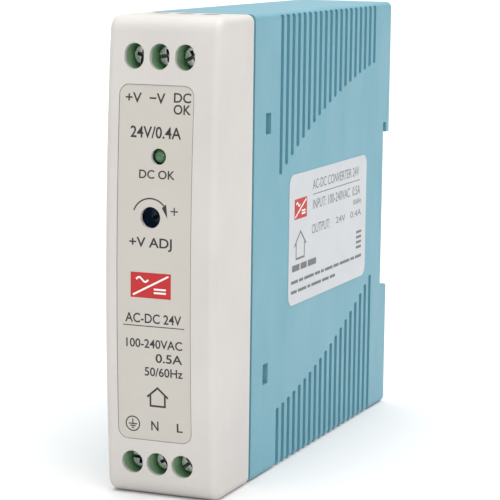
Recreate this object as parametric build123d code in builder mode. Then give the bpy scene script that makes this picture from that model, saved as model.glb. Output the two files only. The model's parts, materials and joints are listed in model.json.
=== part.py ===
"""A slim DIN rail power supply, 22.5 mm wide, as an assembly of separate pieces.

Millimetres. The origin is the centre of a 35 mm rail on the rail seat at the back.
+X is to the right seen from the front, +Y points back into the rail, +Z is up.
The arched front cover faces -Y, with the output terminals at the top and the input ones at
the bottom.
"""

from build123d import *

import math
import os

# ---------------------------------------------------------------- driving dimensions
WIDTH = 22.5
HEIGHT = 90.0
DEPTH = 100.0
SEAT_TO_REAR = 4.7  # how far the upper hook reaches behind the rail seat
COVER_DEPTH = 17.65  # at the middle of the arched front
CROWN = 2.0  # the front's upper and lower ends lie this much further back than its middle
COVER_WALL = 1.6
FRONT_WALL = 1.0
CASE_STEP = 0.15  # the case is this much narrower than the cover, each side
CASE_WALL = 1.6
SEAM_GAP = 1.3
FRONT_EDGE_RADIUS = 3.0  # upper and lower edge of the front
SIDE_EDGE_RADIUS = 1.5
CASE_EDGE_RADIUS = 1.2

HOOK_LIP_Z = 16.45  # the hook holds the edge of a rail that reaches up to 17.5
HOOK_NOTCH_TOP_Z = 18.6
HOOK_NOTCH_DEPTH = 1.9
LOWER_JAW_TOP_Z = -17.9
LOWER_JAW_REAR = 4.0
SEAT_LAND_HALF = 15.0  # the flat land that the rail bears on, each side of its centre
SEAT_RELIEF = 0.1

PATTERN_Z = -0.5  # terminals, windows and grooves are symmetrical about this height
POLE_PITCH = 5.08
POLES_MIDDLE_X = -0.7
POLE_Z = PATTERN_Z + 38.1  # the upper terminal screws
TOP_HOLE = (3.9, 4.75)
BOTTOM_HOLE_DIAMETER = 4.35
WIRE_HOLE = (3.4, 3.8)
WIRE_Y = -82.0
LED_X, LED_Z, LED_HOLE_DIAMETER = -0.35, 19.4, 3.0
TRIM_X, TRIM_Z, TRIM_HOLE_DIAMETER = -1.8, 8.1, 4.0

LABEL_X, LABEL_Z = -1.05, -0.8
LABEL_WIDTH, LABEL_HEIGHT, LABEL_CORNER = 15.0, 66.6, 2.0
LABEL_RECESS, LABEL_THICKNESS, LABEL_GAP = 0.3, 0.2, 0.12

GROOVE_COUNT = 19
GROOVE_FIRST_Y, GROOVE_PITCH = -62.35, 3.066
GROOVE_WIDTH, GROOVE_DEPTH = 1.55, 0.95
GROOVE_ARC_RADIUS = 165.0  # the ends of the grooves follow this arc
GROOVE_END_FRONT, GROOVE_END_REAR = 13.95, 32.6  # heights above PATTERN_Z of the arc's ends
GROOVE_OUTER_END = 44.95  # the same for the other ends: upper grooves stop just below the top

SNAP_Y, SNAP_Z = -69.2, 24.45  # the height is counted from PATTERN_Z, up and down
SNAP_WINDOW = (2.7, 4.05)

RATING_LABEL = (-57.55, -11.15, -13.65, 12.65)  # lowest and highest y, lowest and highest z
RATING_LABEL_THICKNESS, RATING_LABEL_CORNER = 0.12, 2.2

BOARD_THICKNESS = 1.6

# ---------------------------------------------------------------- derived places
Y_FRONT = SEAT_TO_REAR - DEPTH
Y_SPLIT = Y_FRONT + COVER_DEPTH
Y_CASE_FRONT = Y_SPLIT + SEAM_GAP
Y_REAR = SEAT_TO_REAR
HALF_W = WIDTH / 2
HALF_H = HEIGHT / 2
CASE_HALF_W = HALF_W - CASE_STEP
CASE_INNER_X = CASE_HALF_W - CASE_WALL
INNER_Z = HALF_H - CASE_WALL
COVER_INNER_X = HALF_W - COVER_WALL
POLES_X = [POLES_MIDDLE_X + i * POLE_PITCH for i in (-1, 0, 1)]
LOWER_POLE_Z = 2 * PATTERN_Z - POLE_Z

FRONT_BOARD_Y = -79.1  # front face of the front board
FRONT_BOARD_HALF_W = 8.4
BOARD_HALF_H = 42.0
MAIN_BOARD_X = -6.6  # component face of the main board
MAIN_BOARD_REAR_Y = -2.6
MAIN_BOARD_FRONT_Y = FRONT_BOARD_Y + BOARD_THICKNESS

os.makedirs("parts", exist_ok=True)


def save(piece, name):
    """Labels a finished piece and writes it to its own STEP file."""
    piece.part.label = name
    export_step(piece.part, f"parts/{name}.step")


def add_box(x, y, z, mode=Mode.ADD):
    """A box in the current part, from (low, high) pairs along X, Y and Z."""
    size = [b - a for a, b in (x, y, z)]
    middle = [(a + b) / 2 for a, b in (x, y, z)]
    with Locations(tuple(middle)):
        return Box(*size, mode=mode)


def both(half):
    """A (low, high) pair centred on zero."""
    return (-half, half)


def add_rod(start, end, radius, mode=Mode.ADD):
    """A cylinder in the current part between two points."""
    axis = Vector(*end) - Vector(*start)
    middle = (Vector(*end) + Vector(*start)) / 2
    with Locations(Plane(origin=middle, z_dir=axis)):
        return Cylinder(radius, axis.length, mode=mode)


def sheet_plane(y):
    """A sketch plane parallel to the front: sketch X is +X, sketch Y is +Z, its normal is -Y."""
    return Plane(origin=(0, y, 0), x_dir=(1, 0, 0), z_dir=(0, -1, 0))


def front_y(z, depth=0.0):
    """Where the arched front lies at a height, or a surface that is depth behind it."""
    return Y_FRONT + depth + CROWN * (z / HALF_H) ** 2


def arched_block(half_x, rear_y, depth, half_z):
    """A block whose front face is the arched front, moved back by depth."""
    end_y = front_y(half_z, depth)
    with BuildPart() as block:
        with BuildSketch(Plane.YZ.offset(-half_x)):
            with BuildLine():
                Polyline((end_y, half_z), (rear_y, half_z), (rear_y, -half_z), (end_y, -half_z))
                ThreePointArc((end_y, -half_z), (Y_FRONT + depth, 0), (end_y, half_z))
            make_face()
        extrude(amount=2 * half_x)
    return block


def panel_holes(mode=Mode.ADD):
    """Sketches the lamp and trimmer holes on the current sketch plane."""
    with Locations((LED_X, LED_Z)):
        Circle(LED_HOLE_DIAMETER / 2, mode=mode)
    with Locations((TRIM_X, TRIM_Z)):
        Circle(TRIM_HOLE_DIAMETER / 2, mode=mode)


# ---------------------------------------------------------------- housing
HOLES_FROM_Y = -91.8  # a plane just behind the cover's front wall, where its holes start
LABEL_GROUND_Y = -91.0


def make_cover_shell():
    """The arched cap on its own: rounded outside, hollow inside."""
    with BuildPart() as shell:
        add(arched_block(HALF_W, Y_SPLIT, 0, HALF_H).part)
        along_x = shell.edges().filter_by(Axis.X)
        fillet(along_x.filter_by(lambda e: e.center().Y < Y_SPLIT - 1), FRONT_EDGE_RADIUS)
        outline = shell.faces().filter_by(Axis.X).edges()
        fillet(outline.filter_by(lambda e: e.center().Y < Y_SPLIT - 0.1), SIDE_EDGE_RADIUS)
        add(
            arched_block(COVER_INNER_X, Y_SPLIT + 1, FRONT_WALL, HALF_H - COVER_WALL).part,
            mode=Mode.SUBTRACT,
        )
    return shell


def make_label_recess():
    """The shallow space that the front label fills, with an arched floor."""
    with BuildPart() as recess:
        with BuildSketch(sheet_plane(LABEL_GROUND_Y)):
            with Locations((LABEL_X, LABEL_Z)):
                RectangleRounded(LABEL_WIDTH, LABEL_HEIGHT, LABEL_CORNER)
        extrude(amount=LABEL_GROUND_Y - Y_FRONT + 1)
        add(
            arched_block(HALF_W, LABEL_GROUND_Y + 1, LABEL_RECESS, HALF_H).part,
            mode=Mode.SUBTRACT,
        )
    return recess


def make_front_cover():
    """The white cover: a cap with terminal holes, wire entries and four snap arms."""
    tongue_x, tongue_z = CASE_INNER_X - 0.1, INNER_Z - 0.1
    tongue_wall, tongue_front, tongue_rear = 0.8, Y_SPLIT - 1.0, Y_SPLIT + 2.4
    arm_thickness, arm_half_z, barb_height = 1.0, 1.9, 0.5
    arm_end = SNAP_Y + SNAP_WINDOW[0] / 2 + 0.6
    barb_front = SNAP_Y - SNAP_WINDOW[0] / 2 + 0.2

    with BuildPart() as cover:
        add(make_cover_shell().part)
        # tongue that slides into the case
        add_box(both(COVER_INNER_X), (tongue_front, Y_SPLIT), both(HALF_H - COVER_WALL))
        add_box(both(tongue_x), (Y_SPLIT, tongue_rear), both(tongue_z))
        add_box(
            both(tongue_x - tongue_wall),
            (tongue_front - 1, tongue_rear + 1),
            both(tongue_z - tongue_wall),
            Mode.SUBTRACT,
        )
        # snap arms, each with a barb that stands in a window of the case
        for side in (-1, 1):
            arm_x = sorted((side * (tongue_x - arm_thickness), side * tongue_x))
            barb_x = side * (tongue_x + barb_height)
            for z in (PATTERN_Z - SNAP_Z, PATTERN_Z + SNAP_Z):
                add_box(arm_x, (tongue_front, arm_end), (z - arm_half_z, z + arm_half_z))
                with BuildSketch(Plane.XY.offset(z - arm_half_z + 0.2)):
                    with BuildLine():
                        Polyline(
                            (side * tongue_x, barb_front),
                            (barb_x, barb_front),
                            (barb_x, barb_front + 0.7),
                            (side * tongue_x, arm_end - 0.9),
                            close=True,
                        )
                    make_face()
                extrude(amount=2 * arm_half_z - 0.4)
        add(make_label_recess().part, mode=Mode.SUBTRACT)
        # screwdriver holes, lamp hole and trimmer hole
        with BuildSketch(sheet_plane(HOLES_FROM_Y)):
            with Locations(*[(x, POLE_Z) for x in POLES_X]):
                SlotOverall(TOP_HOLE[1], TOP_HOLE[0], rotation=90)
            with Locations(*[(x, LOWER_POLE_Z) for x in POLES_X]):
                Circle(BOTTOM_HOLE_DIAMETER / 2)
            panel_holes()
        extrude(amount=HOLES_FROM_Y - Y_FRONT + 1, mode=Mode.SUBTRACT)
        # wire entries through the top and the bottom
        with BuildSketch(Plane.XY.offset(-HALF_H - 1)):
            with Locations(*[(x, WIRE_Y) for x in POLES_X]):
                RectangleRounded(WIRE_HOLE[0], WIRE_HOLE[1], 0.5)
        extrude(amount=HEIGHT + 2, mode=Mode.SUBTRACT)
    return cover


def make_front_label():
    """The thin printed panel that lies in the cover's recess."""
    shrink = 2 * LABEL_GAP
    with BuildPart() as label:
        with BuildSketch(sheet_plane(LABEL_GROUND_Y)):
            with Locations((LABEL_X, LABEL_Z)):
                RectangleRounded(
                    LABEL_WIDTH - shrink, LABEL_HEIGHT - shrink, LABEL_CORNER - LABEL_GAP
                )
            panel_holes(Mode.SUBTRACT)
        extrude(amount=LABEL_GROUND_Y - Y_FRONT + 1)
        add(
            arched_block(HALF_W, LABEL_GROUND_Y, LABEL_RECESS - LABEL_THICKNESS, HALF_H).part,
            mode=Mode.INTERSECT,
        )
        add(
            arched_block(HALF_W, LABEL_GROUND_Y + 1, LABEL_RECESS, HALF_H).part,
            mode=Mode.SUBTRACT,
        )
    return label


def groove_end_z(y):
    """Height above PATTERN_Z where an upper groove ends: an arc, steepest at the front."""
    first, last = GROOVE_FIRST_Y, GROOVE_FIRST_Y + (GROOVE_COUNT - 1) * GROOVE_PITCH
    middle = Vector((first + last) / 2, (GROOVE_END_FRONT + GROOVE_END_REAR) / 2)
    chord = Vector(last - first, GROOVE_END_REAR - GROOVE_END_FRONT)
    rise = math.sqrt(GROOVE_ARC_RADIUS**2 - (chord.length / 2) ** 2)
    away = Vector(chord.Y, -chord.X).normalized()
    centre = middle + away * rise
    return centre.Y + math.sqrt(GROOVE_ARC_RADIUS**2 - (y - centre.X) ** 2)


def make_rear_case():
    """The teal case: a deep box with decorative side grooves, a rail hook and a latch channel."""
    channel_wide, channel_narrow = 7.4, 6.2
    with BuildPart() as case:
        with BuildSketch(Plane.YZ):
            with BuildLine():
                Polyline(
                    (Y_CASE_FRONT, -HALF_H),
                    (LOWER_JAW_REAR, -HALF_H),
                    (LOWER_JAW_REAR, LOWER_JAW_TOP_Z),
                    (0, LOWER_JAW_TOP_Z),
                    (0, HOOK_LIP_Z),
                    (Y_REAR, HOOK_LIP_Z),
                    (Y_REAR, HALF_H),
                    (Y_CASE_FRONT, HALF_H),
                    close=True,
                )
            make_face()
        extrude(amount=CASE_HALF_W, both=True)
        long_edges = case.edges().filter_by(Axis.Y).filter_by(
            lambda e: e.length > DEPTH / 2
        )
        fillet(long_edges, CASE_EDGE_RADIUS)
        rear_face = case.faces().filter_by(Axis.Y).sort_by(Axis.Y)[-1]
        fillet(rear_face.edges().filter_by(Axis.Y, reverse=True), 1.1)
        jaw_face = case.faces().filter_by(Axis.Y).sort_by(Axis.Y)[-2]
        fillet(jaw_face.edges().sort_by(Axis.Z)[-1], 0.8)
        # rail side of the case: hook notch, and relief around the seat land
        add_box(
            both(CASE_HALF_W + 1),
            (-SEAT_RELIEF, HOOK_NOTCH_DEPTH),
            (SEAT_LAND_HALF, HOOK_NOTCH_TOP_Z),
            Mode.SUBTRACT,
        )
        add_box(
            both(CASE_HALF_W + 1),
            (-SEAT_RELIEF, 1),
            (LOWER_JAW_TOP_Z, -SEAT_LAND_HALF),
            Mode.SUBTRACT,
        )
        # inside of the box, and of the hollow upper hook
        add_box(
            both(CASE_INNER_X),
            (Y_CASE_FRONT - 1, -CASE_WALL),
            both(INNER_Z),
            Mode.SUBTRACT,
        )
        add_box(
            both(CASE_INNER_X),
            (-CASE_WALL - 1, Y_REAR - CASE_WALL),
            (HOOK_NOTCH_TOP_Z + CASE_WALL, INNER_Z),
            Mode.SUBTRACT,
        )
        # T-shaped channel for the latch, and the post that its spring stands on
        channel_z = (-HALF_H - 1, LOWER_JAW_TOP_Z + 1)
        add_box(both(channel_wide), (0.4, 1.7), channel_z, Mode.SUBTRACT)
        add_box(both(channel_narrow), (0.4, 4.5), channel_z, Mode.SUBTRACT)
        add_box(both(SPRING_POST_HALF_X), (0.4, 3.0), SPRING_POST_Z)
        # windows for the cover's snap arms
        with BuildSketch(Plane.YZ.offset(-CASE_HALF_W - 1)):
            with Locations((SNAP_Y, PATTERN_Z + SNAP_Z), (SNAP_Y, PATTERN_Z - SNAP_Z)):
                Rectangle(*SNAP_WINDOW)
        extrude(amount=WIDTH + 2, mode=Mode.SUBTRACT)
        # grooves on both sides, down from the top and up from the bottom
        for side in (-1, 1):
            with BuildSketch(Plane.YZ.offset(side * (CASE_HALF_W - GROOVE_DEPTH))):
                for i in range(GROOVE_COUNT):
                    upper_y = GROOVE_FIRST_Y + i * GROOVE_PITCH
                    lower_y = GROOVE_FIRST_Y + (GROOVE_COUNT - 1 - i) * GROOVE_PITCH
                    end = groove_end_z(upper_y)
                    middle = (GROOVE_OUTER_END + end) / 2
                    with Locations((upper_y, PATTERN_Z + middle), (lower_y, PATTERN_Z - middle)):
                        RectangleRounded(GROOVE_WIDTH, GROOVE_OUTER_END - end, 0.35)
            extrude(amount=2 * side, mode=Mode.SUBTRACT)
    return case


def make_rating_label():
    """The sticker on the right side of the case."""
    y0, y1, z0, z1 = RATING_LABEL
    with BuildPart() as label:
        with BuildSketch(Plane.YZ.offset(CASE_HALF_W)):
            with Locations(((y0 + y1) / 2, (z0 + z1) / 2)):
                RectangleRounded(y1 - y0, z1 - z0, RATING_LABEL_CORNER)
        extrude(amount=RATING_LABEL_THICKNESS)
    return label


# ---------------------------------------------------------------- rail latch
SPRING_POST_HALF_X = 1.4
SPRING_POST_Z = (-36.2, -34.6)
SPRING_Y = 1.95
SPRING_TOP_Z = -25.2
SPRING_RADIUS = 1.05
SPRING_WIRE = 0.4


def make_rail_latch():
    """The slider that locks the lower edge of the rail and is pulled down to let it go."""
    body_x, flange_x = 6.05, 7.25
    lip_top, lip_front = -16.0, 1.25
    bottom = -HALF_H + 0.1
    with BuildPart() as latch:
        add_box(both(body_x), (0.5, 3.3), (bottom, LOWER_JAW_TOP_Z + 0.1))
        add_box(both(flange_x), (0.5, 1.6), (bottom + 2, LOWER_JAW_TOP_Z - 2))
        # lip with a slope at the back, so that the rail pushes it down when it clips on
        with BuildSketch(Plane.YZ.offset(-body_x)):
            with BuildLine():
                Polyline(
                    (lip_front, LOWER_JAW_TOP_Z),
                    (lip_front, lip_top),
                    (lip_front + 0.5, lip_top),
                    (3.3, LOWER_JAW_TOP_Z + 0.4),
                    (3.3, LOWER_JAW_TOP_Z),
                    close=True,
                )
            make_face()
        extrude(amount=2 * body_x)
        # window for the spring and the post, and a slot for a screwdriver blade
        add_box(
            both(1.75), (0, 4), (SPRING_POST_Z[0] - 0.15, SPRING_TOP_Z), Mode.SUBTRACT
        )
        add_box(both(2.6), (0, 4), (-42.6, -40.8), Mode.SUBTRACT)
        # two grip ridges
        for z in (-38.9, -38.0):
            add_rod((-4.5, 3.3, z), (4.5, 3.3, z), 0.17)
    return latch


def make_latch_spring():
    """The coil spring between the post of the case and the top of the latch's window."""
    bottom = SPRING_POST_Z[1] + SPRING_WIRE / 2 + 0.02
    height = SPRING_TOP_Z - SPRING_WIRE / 2 - 0.02 - bottom
    turns = 9
    with BuildPart() as spring:
        with BuildLine() as coil:
            Helix(
                height / turns,
                height,
                SPRING_RADIUS,
                center=(0, SPRING_Y, bottom),
            )
        with BuildSketch(Plane(origin=coil.line @ 0, z_dir=coil.line % 0)):
            Circle(SPRING_WIRE / 2)
        sweep(is_frenet=True)
    return spring


# ---------------------------------------------------------------- terminals
BLOCK_FRONT_Y = -92.5
BLOCK_HALF_W = 7.87
BLOCK_Z = (POLE_Z - 4.85, POLE_Z + 4.65)
WELL_RADIUS = 2.1
HEAD_Y = (-89.9, -88.5)
HEAD_RADIUS = 1.95
SHANK_RADIUS = 1.25
LEDGE_Y = (-88.48, -86.4)
CONTACT_Y = (-83.5, -82.9)
CHAMBER_HALF_X = 2.15
CHAMBER_Y = (-86.4, -79.8)
CHAMBER_Z = (POLE_Z - 3.65, POLE_Z + 2.95)
CLAMP_Y = (-84.3, -80.0)
CLAMP_Z = (POLE_Z - 2.15, POLE_Z + 2.05)
CLAMP_WALL = 0.7


def make_terminal_block():
    """The green three-pole terminal housing of the output, at the top."""
    with BuildPart() as block:
        block_x = (POLES_MIDDLE_X - BLOCK_HALF_W, POLES_MIDDLE_X + BLOCK_HALF_W)
        add_box(block_x, (BLOCK_FRONT_Y, FRONT_BOARD_Y), BLOCK_Z)
        front_edges = block.edges().filter_by(Axis.X).group_by(Axis.Y)[0]
        chamfer(front_edges.sort_by(Axis.Z)[-1], 1.2)
        # screw wells, longer than they are wide
        with BuildSketch(sheet_plane(LEDGE_Y[0])):
            with Locations(*[(x, POLE_Z) for x in POLES_X]):
                SlotOverall(2 * WELL_RADIUS + 0.8, 2 * WELL_RADIUS, rotation=90)
        extrude(amount=LEDGE_Y[0] - BLOCK_FRONT_Y + 1, mode=Mode.SUBTRACT)
        for x in POLES_X:
            add_rod(
                (x, LEDGE_Y[0] - 1, POLE_Z),
                (x, LEDGE_Y[1] + 1, POLE_Z),
                SHANK_RADIUS + 0.15,
                Mode.SUBTRACT,
            )
            chamber_x = (x - CHAMBER_HALF_X, x + CHAMBER_HALF_X)
            add_box(chamber_x, CHAMBER_Y, CHAMBER_Z, Mode.SUBTRACT)
            # wire entry, open at the top
            entry_x = (x - WIRE_HOLE[0] / 2, x + WIRE_HOLE[0] / 2)
            entry_y = (WIRE_Y - WIRE_HOLE[1] / 2, WIRE_Y + WIRE_HOLE[1] / 2)
            add_box(
                entry_x, entry_y, (CHAMBER_Z[1] - 1, BLOCK_Z[1] + 1), Mode.SUBTRACT
            )
            # slot for the contact's leg
            add_box(
                (x - 0.7, x + 0.7),
                (CHAMBER_Y[1] - 1, FRONT_BOARD_Y + 1),
                (CHAMBER_Z[0], CHAMBER_Z[0] + 0.8),
                Mode.SUBTRACT,
            )
    return block


def make_contacts():
    """The three contact bars of the top terminal block, each with a leg through the board."""
    with BuildPart() as contacts:
        for x in POLES_X:
            add_box((x - 1.2, x + 1.2), CONTACT_Y, (CHAMBER_Z[0] + 0.1, CLAMP_Z[1] - 0.2))
            add_box(
                (x - 0.6, x + 0.6),
                (CONTACT_Y[0], MAIN_BOARD_FRONT_Y + 1.0),
                (CHAMBER_Z[0] + 0.1, CHAMBER_Z[0] + 0.7),
            )
    return contacts


def make_screw(x, turned):
    """A combined slot and cross terminal screw, with its head to the front."""
    with BuildPart() as screw:
        add_rod((x, HEAD_Y[0], POLE_Z), (x, HEAD_Y[1], POLE_Z), HEAD_RADIUS)
        chamfer(screw.edges().group_by(Axis.Y)[0], 0.25)
        add_rod((x, HEAD_Y[1] - 0.2, POLE_Z), (x, CONTACT_Y[0] - 0.05, POLE_Z), SHANK_RADIUS)
        with BuildSketch(sheet_plane(HEAD_Y[0] + 0.8)):
            with Locations(Location((x, POLE_Z), turned)):
                Rectangle(2 * HEAD_RADIUS + 1, 0.65)
                Rectangle(0.65, 2.4)
        extrude(amount=2, mode=Mode.SUBTRACT)
    return screw


def make_clamp(x):
    """The clamp of one pole: a box frame that the screw draws forward onto the wire."""
    with BuildPart() as clamp:
        add_box((x - 2.0, x + 2.0), CLAMP_Y, CLAMP_Z)
        add_box(
            (x - 1.35, x + 1.35),
            (CLAMP_Y[0] + CLAMP_WALL, CLAMP_Y[1] - CLAMP_WALL),
            (CLAMP_Z[0] - 1, CLAMP_Z[1] + 1),
            Mode.SUBTRACT,
        )
        add_rod(
            (x, CLAMP_Y[0] - 1, POLE_Z),
            (x, CLAMP_Y[0] + CLAMP_WALL + 1, POLE_Z),
            SHANK_RADIUS + 0.05,
            Mode.SUBTRACT,
        )
    return clamp


def mirrored_down(piece):
    """The same piece for the bottom terminals."""
    with BuildPart() as copy:
        add(piece.part)
        mirror(about=Plane.XY.offset(PATTERN_Z), mode=Mode.REPLACE)
    return copy


# ---------------------------------------------------------------- boards
def make_front_board():
    """The upright board behind the cover, with holes for the contacts' legs."""
    with BuildPart() as board:
        add_box(
            both(FRONT_BOARD_HALF_W),
            (FRONT_BOARD_Y, MAIN_BOARD_FRONT_Y),
            both(BOARD_HALF_H),
        )
        leg_z = CHAMBER_Z[0] + 0.4
        with BuildSketch(sheet_plane(MAIN_BOARD_FRONT_Y)):
            with Locations(*[(x, z) for x in POLES_X for z in (leg_z, 2 * PATTERN_Z - leg_z)]):
                Circle(0.8)
        extrude(amount=BOARD_THICKNESS, mode=Mode.SUBTRACT)
    return board


def make_main_board():
    """The large board along the left wall, which carries the converter."""
    with BuildPart() as board:
        add_box(
            (MAIN_BOARD_X - BOARD_THICKNESS, MAIN_BOARD_X),
            (MAIN_BOARD_FRONT_Y, MAIN_BOARD_REAR_Y),
            both(BOARD_HALF_H),
        )
    return board


def make_board_pins():
    """The right-angle pins that join the two boards."""
    with BuildPart() as pins:
        for i in range(8):
            z = -28 + 8 * i
            add_box(
                (MAIN_BOARD_X, MAIN_BOARD_X + 0.6),
                (MAIN_BOARD_FRONT_Y, MAIN_BOARD_FRONT_Y + 3.0),
                (z - 0.3, z + 0.3),
            )
            add_box(
                (MAIN_BOARD_X, MAIN_BOARD_X + 1.8),
                (MAIN_BOARD_FRONT_Y, MAIN_BOARD_FRONT_Y + 0.6),
                (z - 0.3, z + 0.3),
            )
    return pins


SHEET_FRONT_Y = SNAP_Y + 2.4  # just behind the cover's snap arms


def make_insulation_sheet():
    """The film between the solder side of the main board and the case."""
    with BuildPart() as sheet:
        add_box(
            (-CASE_INNER_X + 0.05, -CASE_INNER_X + 0.3),
            (SHEET_FRONT_Y, MAIN_BOARD_REAR_Y),
            both(BOARD_HALF_H),
        )
    return sheet


# ---------------------------------------------------------------- lamp and trimmer
LED_RADIUS = 1.45
LED_TIP_Y = -94.6
LED_BASE_Y = -89.8


def make_status_led():
    """A 3 mm lamp: a domed cylinder with a flange."""
    with BuildPart() as led:
        with BuildSketch(Plane(origin=(LED_X, 0, LED_Z), x_dir=(1, 0, 0), z_dir=(0, 0, 1))):
            with BuildLine():
                Polyline(
                    (0, LED_BASE_Y),
                    (LED_RADIUS + 0.35, LED_BASE_Y),
                    (LED_RADIUS + 0.35, LED_BASE_Y - 0.9),
                    (LED_RADIUS, LED_BASE_Y - 0.9),
                    (LED_RADIUS, LED_TIP_Y + LED_RADIUS),
                )
                RadiusArc(
                    (LED_RADIUS, LED_TIP_Y + LED_RADIUS), (0, LED_TIP_Y), LED_RADIUS
                )
                Line((0, LED_TIP_Y), (0, LED_BASE_Y))
            make_face()
        revolve(axis=Axis((LED_X, 0, LED_Z), (0, 1, 0)))
    return led


def make_led_spacer():
    """The tube that holds the lamp in front of the front board."""
    with BuildPart() as spacer:
        add_rod((LED_X, LED_BASE_Y, LED_Z), (LED_X, FRONT_BOARD_Y, LED_Z), 1.9)
        for dx in (-1.27 / 2, 1.27 / 2):
            add_rod(
                (LED_X + dx, LED_BASE_Y - 1, LED_Z),
                (LED_X + dx, FRONT_BOARD_Y + 1, LED_Z),
                0.4,
                Mode.SUBTRACT,
            )
    return spacer


def make_led_leads():
    """The two wires of the lamp inside its spacer."""
    with BuildPart() as leads:
        for dx in (-1.27 / 2, 1.27 / 2):
            add_rod(
                (LED_X + dx, LED_BASE_Y, LED_Z),
                (LED_X + dx, FRONT_BOARD_Y, LED_Z),
                0.25,
            )
    return leads


TRIM_SIZE = 6.6
TRIM_TOP_Y = -90.6
TRIM_HEIGHT = 5.2
ROTOR_RADIUS = 1.75


def make_trimmer_body():
    """The square single-turn trimmer, with a well for its rotor."""
    half = TRIM_SIZE / 2
    with BuildPart() as body:
        add_box(
            (TRIM_X - half, TRIM_X + half),
            (TRIM_TOP_Y, TRIM_TOP_Y + TRIM_HEIGHT),
            (TRIM_Z - half, TRIM_Z + half),
        )
        chamfer(body.edges().filter_by(Axis.Y), 0.5)
        add_rod(
            (TRIM_X, TRIM_TOP_Y - 1, TRIM_Z),
            (TRIM_X, TRIM_TOP_Y + 1.6, TRIM_Z),
            ROTOR_RADIUS + 0.05,
            Mode.SUBTRACT,
        )
    return body


def make_trimmer_riser():
    """The block that lifts the trimmer from the front board up to its hole."""
    half = TRIM_SIZE / 2 - 0.4
    with BuildPart() as riser:
        add_box(
            (TRIM_X - half, TRIM_X + half),
            (TRIM_TOP_Y + TRIM_HEIGHT, FRONT_BOARD_Y),
            (TRIM_Z - half, TRIM_Z + half),
        )
    return riser


def make_trimmer_rotor():
    """The slotted rotor that sets the output voltage."""
    with BuildPart() as rotor:
        add_rod(
            (TRIM_X, TRIM_TOP_Y - 0.3, TRIM_Z),
            (TRIM_X, TRIM_TOP_Y + 1.5, TRIM_Z),
            ROTOR_RADIUS,
        )
        chamfer(rotor.edges().group_by(Axis.Y)[0], 0.2)
        with BuildSketch(sheet_plane(TRIM_TOP_Y + 0.6)):
            with Locations((TRIM_X, TRIM_Z)):
                Rectangle(2.9, 0.6, rotation=30)
                Rectangle(0.6, 2.9, rotation=30)
        extrude(amount=2, mode=Mode.SUBTRACT)
    return rotor


# ---------------------------------------------------------------- converter parts
def upright_can(y, z, radius, height):
    """A round part standing on the main board, its axis along X."""
    with BuildPart() as can:
        add_rod((MAIN_BOARD_X, y, z), (MAIN_BOARD_X + height, y, z), radius)
        fillet(can.edges().filter_by(GeomType.CIRCLE), min(0.6, radius / 5))
    return can


def leaded_disc(y, z, radius, thickness, stand):
    """A disc part on edge, with two leads down to the main board."""
    centre_x = MAIN_BOARD_X + stand + radius
    with BuildPart() as disc:
        add_rod((centre_x, y - thickness / 2, z), (centre_x, y + thickness / 2, z), radius)
        fillet(disc.edges().filter_by(GeomType.CIRCLE), thickness / 2.5)
        for dz in (-0.55 * radius, 0.55 * radius):
            add_rod((MAIN_BOARD_X, y, z + dz), (centre_x, y, z + dz), 0.35)
    return disc


def chip(y, z, size_y, size_z, height, legs_per_side):
    """A moulded package with a row of legs on each side."""
    lift = 0.5
    with BuildPart() as package:
        add_box(
            (MAIN_BOARD_X + lift, MAIN_BOARD_X + lift + height),
            (y - size_y / 2, y + size_y / 2),
            (z - size_z / 2, z + size_z / 2),
        )
        chamfer(package.faces().sort_by(Axis.X)[-1].edges(), 0.3)
        for i in range(legs_per_side):
            leg_y = y + (i - (legs_per_side - 1) / 2) * 2.54
            for side in (-1, 1):
                edge = z + side * size_z / 2
                add_box(
                    (MAIN_BOARD_X, MAIN_BOARD_X + lift + height / 2),
                    (leg_y - 0.25, leg_y + 0.25),
                    sorted((edge - side * 0.1, edge + side * 0.5)),
                )
    return package


def make_x_capacitor():
    """The box film capacitor across the mains."""
    with BuildPart() as capacitor:
        add_box((MAIN_BOARD_X, MAIN_BOARD_X + 12), (-73.0, -60.0), (-27.0, -20.5))
        fillet(capacitor.edges(), 0.5)
    return capacitor


CHOKE_Y, CHOKE_Z = -42.0, -33.5


def make_choke_core():
    """The closed rectangular ferrite of the line filter."""
    with BuildPart() as core:
        add_box(
            (MAIN_BOARD_X + 2, MAIN_BOARD_X + 6),
            (CHOKE_Y - 7.5, CHOKE_Y + 7.5),
            (CHOKE_Z - 6.5, CHOKE_Z + 6.5),
        )
        add_box(
            (MAIN_BOARD_X, MAIN_BOARD_X + 8),
            (CHOKE_Y - 4.5, CHOKE_Y + 4.5),
            (CHOKE_Z - 3.3, CHOKE_Z + 3.3),
            Mode.SUBTRACT,
        )
    return core


def make_choke_windings():
    """The two windings on the long legs of the line filter."""
    with BuildPart() as windings:
        for side in (-1, 1):
            leg_z = CHOKE_Z + side * 4.9
            add_box(
                (MAIN_BOARD_X + 0.6, MAIN_BOARD_X + 7.4),
                (CHOKE_Y - 4.2, CHOKE_Y + 4.2),
                (leg_z - 2.9, leg_z + 2.9),
            )
            add_box(
                (MAIN_BOARD_X + 1.95, MAIN_BOARD_X + 6.05),
                (CHOKE_Y - 5, CHOKE_Y + 5),
                (leg_z - 1.65, leg_z + 1.65),
                Mode.SUBTRACT,
            )
    return windings


CORE_Y, CORE_Z = -54.0, -2.0
CORE_HALF = (8.0, 9.5)  # half sizes along Y and Z
CORE_X = (MAIN_BOARD_X + 4.0, MAIN_BOARD_X + 12.0)
LEG_HALF = 2.2


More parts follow.
